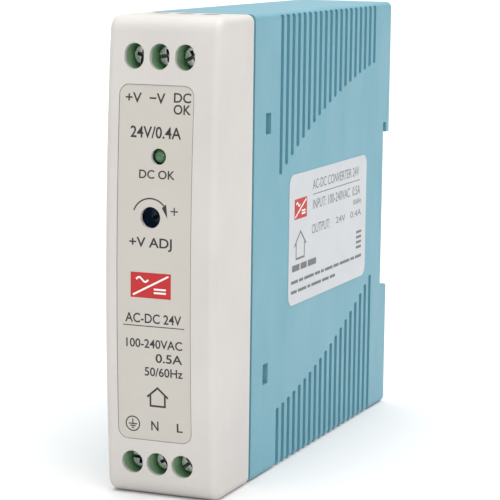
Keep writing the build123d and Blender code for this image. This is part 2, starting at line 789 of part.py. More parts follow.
def make_transformer_core():
    """The two E-shaped ferrite halves, which meet in the middle of the transformer."""
    half_y, half_z = CORE_HALF
    with BuildPart() as core:
        add_box(CORE_X, (CORE_Y - half_y, CORE_Y + half_y), (CORE_Z - half_z, CORE_Z + half_z))
        for side in (-1, 1):
            inner = sorted((side * LEG_HALF, side * (half_y - 2.2)))
            add_box(
                (CORE_X[0] - 1, CORE_X[1] + 1),
                (CORE_Y + inner[0], CORE_Y + inner[1]),
                (CORE_Z - half_z + 2.2, CORE_Z + half_z - 2.2),
                Mode.SUBTRACT,
            )
        split(bisect_by=Plane.XY.offset(CORE_Z), keep=Keep.BOTH)
    return core


def make_transformer_bobbin():
    """The bobbin on the centre leg, with flanges and a pin strip on the board."""
    half_z = CORE_HALF[1] - 2.3
    tube = LEG_HALF + 0.7
    x_low, x_high = CORE_X[0] - 0.7, CORE_X[1] + 0.7
    with BuildPart() as bobbin:
        add_box((x_low, x_high), (CORE_Y - tube, CORE_Y + tube), (CORE_Z - half_z, CORE_Z + half_z))
        for side in (-1, 1):
            flange = sorted((CORE_Z + side * half_z, CORE_Z + side * (half_z - 0.8)))
            add_box(
                (MAIN_BOARD_X + 0.8, x_high + 2.2), (CORE_Y - 5.6, CORE_Y + 5.6), flange
            )
            strip = sorted((CORE_Z + side * half_z, CORE_Z + side * (half_z + 3.4)))
            add_box((MAIN_BOARD_X, CORE_X[0] - 0.3), (CORE_Y - 7, CORE_Y + 7), strip)
        add_box(
            (CORE_X[0] - 0.05, CORE_X[1] + 0.05),
            (CORE_Y - LEG_HALF - 0.05, CORE_Y + LEG_HALF + 0.05),
            (CORE_Z - half_z - 1, CORE_Z + half_z + 1),
            Mode.SUBTRACT,
        )
    return bobbin


def make_transformer_winding():
    """The taped winding between the bobbin's flanges."""
    half_z = CORE_HALF[1] - 2.3 - 0.85
    tube = LEG_HALF + 0.75
    outer = 5.4
    with BuildPart() as winding:
        add_box(
            (CORE_X[0] - 2.6, CORE_X[1] + 2.6),
            (CORE_Y - outer, CORE_Y + outer),
            (CORE_Z - half_z, CORE_Z + half_z),
        )
        fillet(winding.edges().filter_by(Axis.Z), 1.5)
        add_box(
            (CORE_X[0] - 0.75, CORE_X[1] + 0.75),
            (CORE_Y - tube, CORE_Y + tube),
            (CORE_Z - half_z - 1, CORE_Z + half_z + 1),
            Mode.SUBTRACT,
        )
    return winding


SINK_Y = -28.5
SINK_Z = (-17.0, 3.0)


def make_heat_sink():
    """The finned aluminium plate that cools the switching transistor."""
    with BuildPart() as sink:
        add_box((MAIN_BOARD_X, 8.4), (SINK_Y - 1.5, SINK_Y), SINK_Z)
        for i in range(5):
            z = SINK_Z[0] + 0.6 + i * (SINK_Z[1] - SINK_Z[0] - 1.2) / 4
            add_box((MAIN_BOARD_X + 2, 8.4), (SINK_Y - 5.0, SINK_Y - 1.5), (z - 0.5, z + 0.5))
        add_rod((4.6, SINK_Y - 6, -4.6), (4.6, SINK_Y + 1, -4.6), 1.25, Mode.SUBTRACT)
        add_box((1.2, 8.4), (SINK_Y - 5.5, SINK_Y - 1.5), (-7.8, -1.4), Mode.SUBTRACT)
    return sink


def make_switch_transistor():
    """A tabbed power transistor screwed to the heat sink."""
    with BuildPart() as transistor:
        add_box((-8.0 + 4.0, 8.0), (SINK_Y, SINK_Y + 1.3), (-9.6, 0.4))
        add_box((-4.0, 1.8), (SINK_Y, SINK_Y + 4.4), (-9.6, 0.4))
        for dz in (-2.54, 0, 2.54):
            add_box(
                (MAIN_BOARD_X, -3.9), (SINK_Y + 2.2, SINK_Y + 2.8), (-4.6 + dz - 0.4, -4.6 + dz + 0.4)
            )
        add_rod((4.6, SINK_Y - 1, -4.6), (4.6, SINK_Y + 3, -4.6), 1.8, Mode.SUBTRACT)
    return transistor


def make_sink_screw():
    """The screw that holds the transistor to the heat sink."""
    with BuildPart() as screw:
        add_rod((4.6, SINK_Y - 2.9, -4.6), (4.6, SINK_Y + 1.35, -4.6), 1.2)
        add_rod((4.6, SINK_Y + 1.3, -4.6), (4.6, SINK_Y + 3.1, -4.6), 2.6)
        with BuildSketch(sheet_plane(SINK_Y + 3.2)):
            with Locations((4.6, -4.6)):
                Rectangle(3.2, 0.7)
                Rectangle(0.7, 3.2)
        extrude(amount=1.1, mode=Mode.SUBTRACT)
    return screw


def make_bulk_capacitor():
    """The mains storage capacitor, lying on the board with its axis along Z."""
    x, y = MAIN_BOARD_X + 6.4, -11.5
    with BuildPart() as capacitor:
        add_rod((x, y, -40.0), (x, y, -19.0), 6.25)
        fillet(capacitor.edges().filter_by(GeomType.CIRCLE), 0.7)
        with BuildSketch(Plane.XY.offset(-19.3)):
            with Locations((x, y)):
                Rectangle(8, 0.5, rotation=45)
                Rectangle(0.5, 8, rotation=45)
        extrude(amount=1, mode=Mode.SUBTRACT)
    return capacitor


def make_output_capacitors():
    """The two filter capacitors of the output."""
    with BuildPart() as pair:
        for y in (-42.0, -31.5):
            add(upright_can(y, 24.0, 5.0, 15.5).part)
    return pair


def make_output_inductor():
    """The drum-core choke of the output filter."""
    with BuildPart() as inductor:
        add(upright_can(-21.0, 24.0, 4.6, 11.0).part)
        for x in (MAIN_BOARD_X + 2.0, MAIN_BOARD_X + 8.0):
            with BuildSketch(Plane.YZ.offset(x)):
                with Locations((-21.0, 24.0)):
                    Circle(5)
                    Circle(4.2, mode=Mode.SUBTRACT)
            extrude(amount=1.0, mode=Mode.SUBTRACT)
    return inductor


def bent_lead(y, z, axis, reach, height, radius):
    """A lead that rises from the main board, runs along Y or Z and goes down again."""
    along = Vector(0, 1, 0) if axis == "Y" else Vector(0, 0, 1)
    foot = Vector(MAIN_BOARD_X, y, z)
    rise = Vector(height, 0, 0)
    with BuildPart() as lead:
        with BuildLine() as path:
            FilletPolyline(
                foot - along * reach,
                foot - along * reach + rise,
                foot + along * reach + rise,
                foot + along * reach,
                radius=2.2 * radius,
            )
        with BuildSketch(Plane(origin=path.line @ 0, z_dir=path.line % 0)):
            Circle(radius)
        sweep()
    return lead


def make_output_diode():
    """The output rectifier, an axial part with bent leads."""
    y, z, height = -62.0, 24.0, 4.0
    x = MAIN_BOARD_X + height
    with BuildPart() as diode:
        add(bent_lead(y, z, "Z", 7.0, height, 0.5).part)
        add_rod((x, y, z - 4.6), (x, y, z + 4.6), 2.6)
    return diode


def make_resistors():
    """Small axial resistors on the main board."""
    places = [(-70.0, 8.0), (-70.0, 14.0), (-38.0, 9.0), (-38.0, 14.0), (-20.0, 10.0), (-8.5, 10.0)]
    height = 1.4
    with BuildPart() as resistors:
        for y, z in places:
            add(bent_lead(y, z, "Y", 4.6, height, 0.3).part)
            x = MAIN_BOARD_X + height
            add_rod((x, y - 3.0, z), (x, y + 3.0, z), 1.1)
    return resistors


# ---------------------------------------------------------------- write every piece
save(make_front_cover(), "front_cover")
save(make_front_label(), "front_label")
save(make_rear_case(), "rear_case")
save(make_rating_label(), "rating_label")
save(make_rail_latch(), "rail_latch")
save(make_latch_spring(), "latch_spring")

block = make_terminal_block()
save(block, "output_terminal_block")
save(mirrored_down(block), "input_terminal_block")
contacts = make_contacts()
save(contacts, "output_contacts")
save(mirrored_down(contacts), "input_contacts")

OUTPUT_POLES = {"v_plus": 80, "v_minus": 8, "dc_ok": 28}
INPUT_POLES = {"earth": 5, "neutral": 62, "line": -38}
for x, (pole, turned) in zip(POLES_X, OUTPUT_POLES.items()):
    save(make_screw(x, turned), f"screw_{pole}")
    save(make_clamp(x), f"clamp_{pole}")
for x, (pole, turned) in zip(POLES_X, INPUT_POLES.items()):
    save(mirrored_down(make_screw(x, turned)), f"screw_{pole}")
    save(mirrored_down(make_clamp(x)), f"clamp_{pole}")

save(make_front_board(), "front_board")
save(make_main_board(), "main_board")
save(make_board_pins(), "board_pins")
save(make_insulation_sheet(), "insulation_sheet")
save(make_status_led(), "status_led")
save(make_led_spacer(), "led_spacer")
save(make_led_leads(), "led_leads")
save(make_trimmer_body(), "trimmer_body")
save(make_trimmer_riser(), "trimmer_riser")
save(make_trimmer_rotor(), "trimmer_rotor")

save(upright_can(-69.0, -36.0, 4.2, 7.8), "input_fuse")
save(leaded_disc(-60.5, -36.0, 4.2, 3.6, 1.5), "inrush_thermistor")
save(leaded_disc(-54.5, -36.0, 4.6, 3.4, 1.5), "surge_varistor")
save(make_x_capacitor(), "mains_filter_capacitor")
save(make_choke_core(), "line_choke_core")
save(make_choke_windings(), "line_choke_windings")
save(chip(-27.0, -34.0, 8.5, 6.5, 3.2, 2), "bridge_rectifier")
save(make_bulk_capacitor(), "bulk_capacitor")
save(make_heat_sink(), "heat_sink")
save(make_switch_transistor(), "switch_transistor")
save(make_sink_screw(), "heat_sink_screw")
save(chip(-40.0, -8.0, 9.4, 6.4, 3.3, 4), "controller_chip")
save(make_transformer_core(), "transformer_core")
save(make_transformer_bobbin(), "transformer_bobbin")
save(make_transformer_winding(), "transformer_winding")
save(chip(-40.0, 2.0, 4.8, 6.4, 3.3, 2), "optocoupler")
save(leaded_disc(-72.0, -2.0, 4.0, 3.4, 1.5), "safety_capacitor")
save(make_output_diode(), "output_diode")
save(make_output_capacitors(), "output_capacitors")
save(make_output_inductor(), "output_inductor")
save(make_resistors(), "resistors")
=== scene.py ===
"""Looks of the slim DIN rail power supply: materials, printed marks, spring, light and camera.

Everything is in metres in the part's own frame: origin on the rail seat, +X to the right seen
from the front, +Y back into the rail, +Z up.
"""

import json
import math

import bmesh
import bpy
from mathutils import Matrix, Vector


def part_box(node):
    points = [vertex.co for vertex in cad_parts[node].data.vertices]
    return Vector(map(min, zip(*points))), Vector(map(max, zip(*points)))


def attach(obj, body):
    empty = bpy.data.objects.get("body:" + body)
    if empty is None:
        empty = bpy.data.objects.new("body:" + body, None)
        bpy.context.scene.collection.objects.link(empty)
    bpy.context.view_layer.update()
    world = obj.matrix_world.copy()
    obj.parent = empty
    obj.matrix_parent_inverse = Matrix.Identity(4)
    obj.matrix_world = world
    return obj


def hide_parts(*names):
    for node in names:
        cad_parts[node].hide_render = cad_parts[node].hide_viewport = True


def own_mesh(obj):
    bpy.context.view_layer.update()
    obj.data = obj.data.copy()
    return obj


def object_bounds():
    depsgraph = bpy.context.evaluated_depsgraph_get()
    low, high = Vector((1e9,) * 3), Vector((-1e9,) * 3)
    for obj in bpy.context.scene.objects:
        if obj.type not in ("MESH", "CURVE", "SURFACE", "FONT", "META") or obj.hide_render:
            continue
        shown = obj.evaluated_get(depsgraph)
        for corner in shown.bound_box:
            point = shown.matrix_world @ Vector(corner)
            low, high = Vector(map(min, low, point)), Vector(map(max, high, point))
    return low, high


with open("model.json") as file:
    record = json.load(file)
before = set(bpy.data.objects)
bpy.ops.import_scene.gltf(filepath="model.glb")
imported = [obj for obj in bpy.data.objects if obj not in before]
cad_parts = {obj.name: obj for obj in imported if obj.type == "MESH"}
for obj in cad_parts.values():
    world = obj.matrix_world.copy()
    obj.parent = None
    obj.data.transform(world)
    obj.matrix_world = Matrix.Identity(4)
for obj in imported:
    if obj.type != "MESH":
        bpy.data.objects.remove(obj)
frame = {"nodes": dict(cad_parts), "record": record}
cad_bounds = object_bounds()

MM = 0.001
HOUSING = "housing"
CROWN = 2.0 * MM  # how far the arched front falls back at its upper and lower ends
HALF_HEIGHT = 45.0 * MM
INK_THICKNESS = 0.012 * MM
INK_SINK = 0.02 * MM  # how far a layer of ink reaches into the surface that it is printed on
INK_STEP = 0.008 * MM  # how much a second layer of ink stands above the first

# cosine between the true and the rounded normal, from a flat surface to the middle of an edge
FLAT_TO_EDGE = (0.995, 0.90)
# share of the sky that a point of a piece sees past the piece itself, from the open to a slot
OPEN_TO_SLOT = (0.85, 0.45)
RECESS_REACH = 1.5  # millimetres
BEVEL_SAMPLES = 4
RECESS_SAMPLES = 8


# ---------------------------------------------------------------- node helpers
def new_material(name):
    """An empty node material and its principled shader."""
    material = bpy.data.materials.new(name)
    material.use_nodes = True
    return material, material.node_tree, material.node_tree.nodes["Principled BSDF"]


def add_node(tree, kind, settings=None, **inputs):
    """A shader node. Inputs are values, or sockets to link from; underscores stand for spaces."""
    node = tree.nodes.new(kind)
    for key, value in (settings or {}).items():
        setattr(node, key, value)
    for key, value in inputs.items():
        socket = node.inputs[key.replace("_", " ")]
        if isinstance(value, bpy.types.NodeSocket):
            tree.links.new(value, socket)
        else:
            socket.default_value = value
    return node


def coordinates(tree, stretch=(1, 1, 1)):
    """Object coordinates in millimetres, stretched along the axes."""
    source = add_node(tree, "ShaderNodeTexCoord")
    scale = tuple(1000 / s for s in stretch)
    mapping = add_node(
        tree, "ShaderNodeMapping", Vector=source.outputs["Object"], Scale=scale
    )
    return mapping.outputs["Vector"]


def noise(tree, vector, size, detail=3.0, roughness=0.55):
    """Noise whose features are about size millimetres across."""
    node = add_node(
        tree, "ShaderNodeTexNoise", Vector=vector, Scale=1 / size, Detail=detail,
        Roughness=roughness,
    )
    return node.outputs["Fac"]


def remap(tree, value, low, high, to_low=0.0, to_high=1.0):
    """Moves a value from one range to another, and clamps it."""
    names = ("From Min", "From Max", "To Min", "To Max")
    node = add_node(tree, "ShaderNodeMapRange", Value=value)
    for key, number in zip(names, (low, high, to_low, to_high)):
        node.inputs[key].default_value = number
    return node.outputs["Result"]


def mix(tree, factor, a, b):
    """Mixes two colours, each an RGB triple or a socket."""
    node = add_node(tree, "ShaderNodeMix", {"data_type": "RGBA"})
    for socket, value in ((node.inputs[0], factor), (node.inputs[6], a), (node.inputs[7], b)):
        if isinstance(value, bpy.types.NodeSocket):
            tree.links.new(value, socket)
        elif isinstance(value, tuple):
            socket.default_value = (*value, 1.0)
        else:
            socket.default_value = value
    return node.outputs[2]


def shade(colour, factor):
    """A colour made darker or lighter."""
    return tuple(min(1.0, c * factor) for c in colour)


def edge_mask(tree, radius):
    """1 on sharp and rounded edges narrower than radius millimetres, 0 on flat surfaces."""
    bevel = add_node(tree, "ShaderNodeBevel", {"samples": BEVEL_SAMPLES}, Radius=radius * MM)
    plain = add_node(tree, "ShaderNodeNewGeometry")
    dot = add_node(tree, "ShaderNodeVectorMath", {"operation": "DOT_PRODUCT"})
    tree.links.new(bevel.outputs["Normal"], dot.inputs[0])
    tree.links.new(plain.outputs["Normal"], dot.inputs[1])
    return remap(tree, dot.outputs["Value"], *FLAT_TO_EDGE)


def recess_mask(tree):
    """1 deep in slots and crevices of the same piece, 0 in the open."""
    open_share = add_node(
        tree, "ShaderNodeAmbientOcclusion", {"samples": RECESS_SAMPLES, "only_local": True},
        Distance=RECESS_REACH * MM,
    )
    return remap(tree, open_share.outputs["AO"], *OPEN_TO_SLOT)


def bump(tree, bsdf, height, distance_mm, bevel_mm=0.0):
    """Adds a bump to the shader, over edges that are rounded by bevel_mm."""
    node = add_node(
        tree, "ShaderNodeBump", Height=height, Distance=distance_mm * MM, Strength=1.0
    )
    if bevel_mm:
        bevel = add_node(
            tree, "ShaderNodeBevel", {"samples": BEVEL_SAMPLES}, Radius=bevel_mm * MM
        )
        tree.links.new(bevel.outputs["Normal"], node.inputs["Normal"])
    tree.links.new(node.outputs["Normal"], bsdf.inputs["Normal"])


# ---------------------------------------------------------------- materials
def moulded_plastic(
    name, colour, roughness, grain=0.35, depth=0.012, wear_and_highlight=0.10, mottle=0.03, recess_shade=0.0
):
    """Injection-moulded plastic with a fine grain and faint mottling; its edges are lightened as
    worn plastic and as painted highlight, and with recess_shade its slots are darkened with
    painted shade.
    """
    material, tree, bsdf = new_material(name)
    where = coordinates(tree)
    cloud = remap(tree, noise(tree, where, 14.0, 4.0), 0.30, 0.70)
    tone = mix(tree, cloud, shade(colour, 1 - mottle), shade(colour, 1 + mottle))
    fine = remap(tree, noise(tree, where, 0.5, 2.0), 0.35, 0.65, -0.5, 0.5)
    # edges lightened: partly worn plastic, partly a painted highlight
    worn_and_highlit = add_node(tree, "ShaderNodeMath", {"operation": "MULTIPLY"})
    tree.links.new(edge_mask(tree, 0.25), worn_and_highlit.inputs[0])
    worn_and_highlit.inputs[1].default_value = wear_and_highlight
    tone = mix(tree, worn_and_highlit.outputs[0], tone, shade(colour, 1.25))
    # painted shade: slots and crevices of the piece darkened by its own occlusion
    if recess_shade:
        tone = mix(tree, recess_mask(tree), tone, shade(colour, 1 - recess_shade))
    tree.links.new(tone, bsdf.inputs["Base Color"])
    smears = remap(
        tree, noise(tree, coordinates(tree, (1, 1, 3)), 7.0, 5.0), 0.35, 0.70,
        roughness - 0.04, roughness + 0.06,
    )
    tree.links.new(smears, bsdf.inputs["Roughness"])
    grains = add_node(
        tree, "ShaderNodeTexVoronoi", {"feature": "SMOOTH_F1"}, Vector=where, Scale=1 / grain
    )
    relief = add_node(tree, "ShaderNodeMath", {"operation": "ADD"})
    tree.links.new(grains.outputs["Distance"], relief.inputs[0])
    tree.links.new(fine, relief.inputs[1])
    bump(tree, bsdf, relief.outputs[0], depth, 0.12)
    bsdf.inputs["Specular IOR Level"].default_value = 0.5
    return material


def printed_film(name, colour, roughness):
    """A printed label: nearly smooth film with a faint orange peel and slightly uneven ink."""
    material, tree, bsdf = new_material(name)
    where = coordinates(tree)
    cloud = remap(tree, noise(tree, where, 9.0, 5.0), 0.30, 0.70)
    tone = mix(tree, cloud, shade(colour, 0.985), shade(colour, 1.015))
    dots = add_node(tree, "ShaderNodeTexVoronoi", Vector=where, Scale=1 / 0.12)
    dotted = remap(tree, dots.outputs["Distance"], 0.0, 0.5, 0.10, 0.0)
    tone = mix(tree, dotted, tone, shade(colour, 0.9))
    tree.links.new(tone, bsdf.inputs["Base Color"])
    handled = remap(
        tree, noise(tree, where, 5.0, 6.0), 0.35, 0.70, roughness - 0.05, roughness + 0.07
    )
    tree.links.new(handled, bsdf.inputs["Roughness"])
    bump(tree, bsdf, noise(tree, where, 0.8, 2.0), 0.004)
    return material


def ink(name, colour):
    """Screen-printed ink, with a thin and slightly broken layer."""
    material, tree, bsdf = new_material(name)
    where = coordinates(tree)
    thin = remap(tree, noise(tree, where, 0.25, 3.0), 0.58, 0.78, 0.0, 0.22)
    tone = mix(tree, thin, colour, tuple(min(1.0, c + 0.12) for c in colour))
    tree.links.new(tone, bsdf.inputs["Base Color"])
    tree.links.new(
        remap(tree, noise(tree, where, 0.5), 0.3, 0.7, 0.45, 0.60), bsdf.inputs["Roughness"]
    )
    bump(tree, bsdf, noise(tree, where, 0.15, 2.0), 0.003)
    return material


def metal(name, colour, roughness, brushed=(1, 1, 1), stain=0.15, depth=0.006, recess_shade=0.0):
    """Plated metal with fine directional scratches and dull patches; its edges are lightened as
    worn plating and as painted highlight, and with recess_shade its slots are darkened with
    painted shade.
    """
    material, tree, bsdf = new_material(name)
    where = coordinates(tree)
    along = coordinates(tree, brushed)
    patches = remap(tree, noise(tree, where, 1.4, 3.0), 0.35, 0.70)
    tone = mix(tree, patches, colour, shade(colour, 1 - stain))
    # edges lightened: partly worn plating, partly a painted highlight
    tone = mix(tree, edge_mask(tree, 0.12), tone, shade(colour, 1.25))
    # painted shade: slots and crevices of the piece darkened by its own occlusion
    if recess_shade:
        tone = mix(tree, recess_mask(tree), tone, shade(colour, 1 - recess_shade))
    tree.links.new(tone, bsdf.inputs["Base Color"])
    tree.links.new(
        remap(tree, noise(tree, where, 0.8, 3.0), 0.3, 0.7, roughness - 0.06, roughness + 0.08),
        bsdf.inputs["Roughness"],
    )
    bump(tree, bsdf, noise(tree, along, 0.12, 3.0), depth, 0.08)
    bsdf.inputs["Metallic"].default_value = 1.0
    return material


def circuit_board(name):
    """Green solder mask over glass cloth, with pale tracks underneath."""
    material, tree, bsdf = new_material(name)
    where = coordinates(tree)
    weave = add_node(
        tree, "ShaderNodeTexWave", {"wave_type": "BANDS"}, Vector=where, Scale=1.6,
        Distortion=0.6,
    )
    tracks = add_node(
        tree, "ShaderNodeTexBrick", Vector=where, Scale=0.35, Mortar_Size=0.06,
        Color1=(0.020, 0.110, 0.040, 1), Color2=(0.022, 0.125, 0.045, 1),
        Mortar=(0.05, 0.20, 0.07, 1),
    )
    tone = mix(tree, 0.12, tracks.outputs["Color"], (0.10, 0.22, 0.10))
    tree.links.new(tone, bsdf.inputs["Base Color"])
    tree.links.new(
        remap(tree, noise(tree, where, 2.0), 0.3, 0.7, 0.30, 0.42), bsdf.inputs["Roughness"]
    )
    bump(tree, bsdf, weave.outputs["Fac"], 0.01)
    return material


def lamp_lens(name):
    """Tinted, slightly milky epoxy of the status lamp."""
    material, tree, bsdf = new_material(name)
    where = coordinates(tree)
    cloud = remap(tree, noise(tree, where, 0.8, 3.0), 0.3, 0.7)
    tone = mix(tree, cloud, (0.045, 0.165, 0.060), (0.075, 0.250, 0.100))
    tree.links.new(tone, bsdf.inputs["Base Color"])
    tree.links.new(
        remap(tree, noise(tree, where, 0.5), 0.3, 0.7, 0.10, 0.20), bsdf.inputs["Roughness"]
    )
    bump(tree, bsdf, noise(tree, where, 0.6, 1.0), 0.004)
    bsdf.inputs["Transmission Weight"].default_value = 0.35
    bsdf.inputs["IOR"].default_value = 1.52
    bsdf.inputs["Coat Weight"].default_value = 0.4
    bsdf.inputs["Coat Roughness"].default_value = 0.08
    return material


WHITE = (0.556, 0.532, 0.508)
TEAL = (0.127, 0.322, 0.396)
TERMINAL_GREEN = (0.225, 0.440, 0.235)

SLOTS = {
    "cover_plastic": moulded_plastic("cover_plastic", WHITE, 0.48),
    "panel_film": printed_film("panel_film", (0.500, 0.477, 0.433), 0.45),
    # stronger edge lightening: worn plastic and painted highlight
    "case_plastic": moulded_plastic("case_plastic", TEAL, 0.42, wear_and_highlight=0.14),
    "sticker_paper": printed_film("sticker_paper", (0.508, 0.527, 0.548), 0.38),
    "latch_plastic": moulded_plastic("latch_plastic", shade(TEAL, 0.92), 0.38, grain=0.5),
    "spring_steel": metal("spring_steel", (0.50, 0.50, 0.52), 0.30),
    "terminal_plastic": moulded_plastic("terminal_plastic", TERMINAL_GREEN, 0.40, grain=0.25),
    "tinned_brass": metal("tinned_brass", (0.72, 0.70, 0.66), 0.32),
    "circuit_board": circuit_board("circuit_board"),
    "insulating_film": printed_film("insulating_film", (0.76, 0.74, 0.66), 0.30),
    "green_lens": lamp_lens("green_lens"),
    "dark_plastic": moulded_plastic("dark_plastic", (0.020, 0.020, 0.022), 0.40),
    "trimmer_plastic": moulded_plastic(
        "trimmer_plastic", (0.022, 0.052, 0.115), 0.35, depth=0.006
    ),
    # the rotor's cross slot is darkened with painted shade
    "rotor_plastic": moulded_plastic(
        "rotor_plastic", (0.050, 0.100, 0.170), 0.32, depth=0.006, recess_shade=0.9
    ),
    "dark_epoxy": moulded_plastic("dark_epoxy", (0.022, 0.022, 0.024), 0.50, grain=0.2),
    "blue_epoxy": moulded_plastic(
        "blue_epoxy", (0.030, 0.110, 0.380), 0.22, depth=0.02, grain=1.4
    ),
    "yellow_plastic": moulded_plastic("yellow_plastic", (0.720, 0.520, 0.060), 0.40),
    "ferrite": moulded_plastic("ferrite", (0.045, 0.044, 0.046), 0.55, grain=0.3, depth=0.02),
    "copper_wire": metal("copper_wire", (0.62, 0.24, 0.09), 0.30, (6, 1, 1), depth=0.03),
    "capacitor_sleeve": moulded_plastic(
        "capacitor_sleeve", (0.016, 0.030, 0.075), 0.22, depth=0.004
    ),
    "heat_sink_aluminium": metal("heat_sink_aluminium", (0.78, 0.78, 0.79), 0.32, (1, 8, 1)),
    # the screw slots are darkened with painted shade
    "zinc_steel": metal(
        "zinc_steel", (0.86, 0.86, 0.88), 0.28, (1, 1, 8), stain=0.06, depth=0.0008, recess_shade=0.9
    ),
    "yellow_tape": printed_film("yellow_tape", (0.740, 0.560, 0.050), 0.22),
    "resistor_lacquer": moulded_plastic("resistor_lacquer", (0.45, 0.33, 0.20), 0.25, depth=0.006),
}

slot_of_node = {s["node"]: s["material_slot"] for s in frame["record"]["subparts"]}
for node_name, node_object in frame["nodes"].items():
    for material_slot in node_object.material_slots:
        material_slot.material = SLOTS[slot_of_node[node_name]]


# ---------------------------------------------------------------- printed marks
def stroke(points, width, closed=False):
    """A line of even width through flat points, as (points, faces) with mitred corners."""
    line = [Vector(p) for p in points]
    count = len(line)
    left, right = [], []
    for i, point in enumerate(line):
        before = line[i - 1] if closed or i > 0 else None
        after = line[(i + 1) % count] if closed or i < count - 1 else None
        first = (point - before).normalized() if before else (after - point).normalized()
        second = (after - point).normalized() if after else first
        normals = Vector((-first.y, first.x)), Vector((-second.y, second.x))
        offset = (normals[0] + normals[1]) * width / 2 / (1 + normals[0].dot(normals[1]))
        left.append(point + offset)
        right.append(point - offset)
    faces = []
    for i in range(count if closed else count - 1):
        j = (i + 1) % count
        faces.append((i, j, count + j, count + i))
    return [tuple(p) for p in left + right], faces


def filled(*points):
    """A filled polygon."""
    return list(points), [tuple(range(len(points)))]


def block(left, right, low, high):
    """A filled rectangle."""
    return filled((left, low), (right, low), (right, high), (left, high))


def arc(centre, radius, start, end, steps=24):
    """Points on an arc, with angles in degrees from the right, counter-clockwise."""
    angles = [math.radians(start + (end - start) * i / steps) for i in range(steps + 1)]
    return [(centre[0] + radius * math.cos(a), centre[1] + radius * math.sin(a)) for a in angles]


def ring(centre, radius, width):
    """A circle drawn with an even line."""
    return stroke(arc(centre, radius, 0, 360, 40)[:-1], width, closed=True)


CAPITAL_HEIGHT = 0.69  # of the built-in typeface, at size 1


def words(line, left, right, low, high, weight=0.014):
    """A line of text as flat faces, fitted between left and right, with capitals low to high."""
    curve = bpy.data.curves.new("text", "FONT")
    curve.body = line
    curve.offset = weight
    curve.resolution_u = 4
    text = bpy.data.objects.new("text", curve)
    bpy.context.scene.collection.objects.link(text)
    bpy.context.view_layer.update()
    graph = bpy.context.evaluated_depsgraph_get()
    mesh = bpy.data.meshes.new_from_object(text.evaluated_get(graph))
    across = [v.co.x for v in mesh.vertices]
    up = [v.co.y for v in mesh.vertices]
    wide = (right - left) / (max(across) - min(across))
    tall = (high - low) / CAPITAL_HEIGHT
    points = [(left + (x - min(across)) * wide, low + y * tall) for x, y in zip(across, up)]
    faces = [tuple(p.vertices) for p in mesh.polygons]
    bpy.data.objects.remove(text)
    bpy.data.curves.remove(curve)
    bpy.data.meshes.remove(mesh)
    return points, faces


def bars(left, right, z, height, lengths, gap):
    """A line of small print shown as short bars, one for each word."""
    shapes = []
    total = sum(lengths) + gap * (len(lengths) - 1)
    scale = (right - left) / total
    at = left
    for length in lengths:
        end = at + length * scale
        shapes.append(block(at, end, z - height / 2, z + height / 2))
        at = end + gap * scale
    return shapes


def converter_symbol(left, right, low, high, width):
    """The general symbol of a converter from alternating to direct voltage, unframed."""
    wide, tall = right - left, high - low
    wave = []
    for i in range(17):
        t = i / 16
        height = 0.72 + 0.09 * math.sin(2 * math.pi * t)
        wave.append((left + wide * (0.14 + 0.30 * t), low + tall * height))
    foot = (left + wide * 0.06, low + tall * 0.10)
    top = (right - wide * 0.06, high - tall * 0.10)
    shapes = [stroke([foot, top], width), stroke(wave, width)]
    for share in (0.22, 0.36):
        z = low + tall * share
        shapes.append(stroke([(left + wide * 0.58, z), (left + wide * 0.88, z)], width))
    return shapes


def house_symbol(left, right, low, high, width):
    """A plain house, for indoor use."""
    wide, tall = right - left, high - low
    roof = [(left, low + tall * 0.48), (left + wide / 2, high), (right, low + tall * 0.48)]
    walls = [
        (left + wide * 0.15, low + tall * 0.58),
        (left + wide * 0.15, low),
        (right - wide * 0.15, low),
        (right - wide * 0.15, low + tall * 0.58),
    ]
    return [stroke(roof, width), stroke(walls, width)]


def earth_symbol(x, z, radius, width):
    """The protective earth sign: a stem over three bars, in a circle."""
    shapes = [ring((x, z), radius, width)]
    shapes.append(stroke([(x, z + radius * 0.68), (x, z + radius * 0.05)], width))
    for drop, half in ((-0.02, 0.62), (-0.30, 0.40), (-0.58, 0.18)):
        level = z + radius * drop
        shapes.append(stroke([(x - radius * half, level), (x + radius * half, level)], width))
    return shapes


def print_marks(name, shapes, place, material):
    """Thin closed ink from flat shapes. place turns (across, up, depth) into a point."""
    layer = bmesh.new()
    for points, faces in shapes:
        corners = [layer.verts.new((u, v, 0)) for u, v in points]
        for face in faces:
            layer.faces.new([corners[i] for i in face])
    grown = bmesh.ops.extrude_face_region(layer, geom=layer.faces[:])
    for item in grown["geom"]:
        if isinstance(item, bmesh.types.BMVert):
            item.co.z = 1
    for corner in layer.verts:
        corner.co = place(corner.co.x * MM, corner.co.y * MM, corner.co.z)
    bmesh.ops.recalc_face_normals(layer, faces=layer.faces[:])
    mesh = bpy.data.meshes.new(name)
    layer.to_mesh(mesh)
    layer.free()
    mesh.materials.append(material)
    piece = bpy.data.objects.new(name, mesh)
    bpy.context.scene.collection.objects.link(piece)
    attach(piece, HOUSING)


panel_front_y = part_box("front_label")[0].y
sticker_side_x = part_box("rating_label")[1].x


def on_panel(across, up, depth):
    """A point of ink on the arched front panel."""
    y = panel_front_y + CROWN * (up / HALF_HEIGHT) ** 2 - INK_THICKNESS
    return Vector((across, y + depth * (INK_THICKNESS + INK_SINK), up))


def on_panel_upper(across, up, depth):
    """The same, for a second layer of ink."""
    return on_panel(across, up, depth) - Vector((0, INK_STEP, 0))


def on_sticker(across, up, depth):
    """A point of ink on the rating sticker, which reads towards the rail."""
    x = sticker_side_x + INK_THICKNESS - depth * (INK_THICKNESS + INK_SINK)
    return Vector((x, across, up))


def on_sticker_upper(across, up, depth):
    """The same, for a second layer of ink."""
    return on_sticker(across, up, depth) + Vector((INK_STEP, 0, 0))


black_ink = ink("black_ink", (0.020, 0.020, 0.022))
grey_ink = ink("grey_ink", (0.13, 0.13, 0.135))
red_ink = ink("red_ink", (0.455, 0.009, 0.010))
white_ink = ink("white_ink", (0.80, 0.78, 0.76))

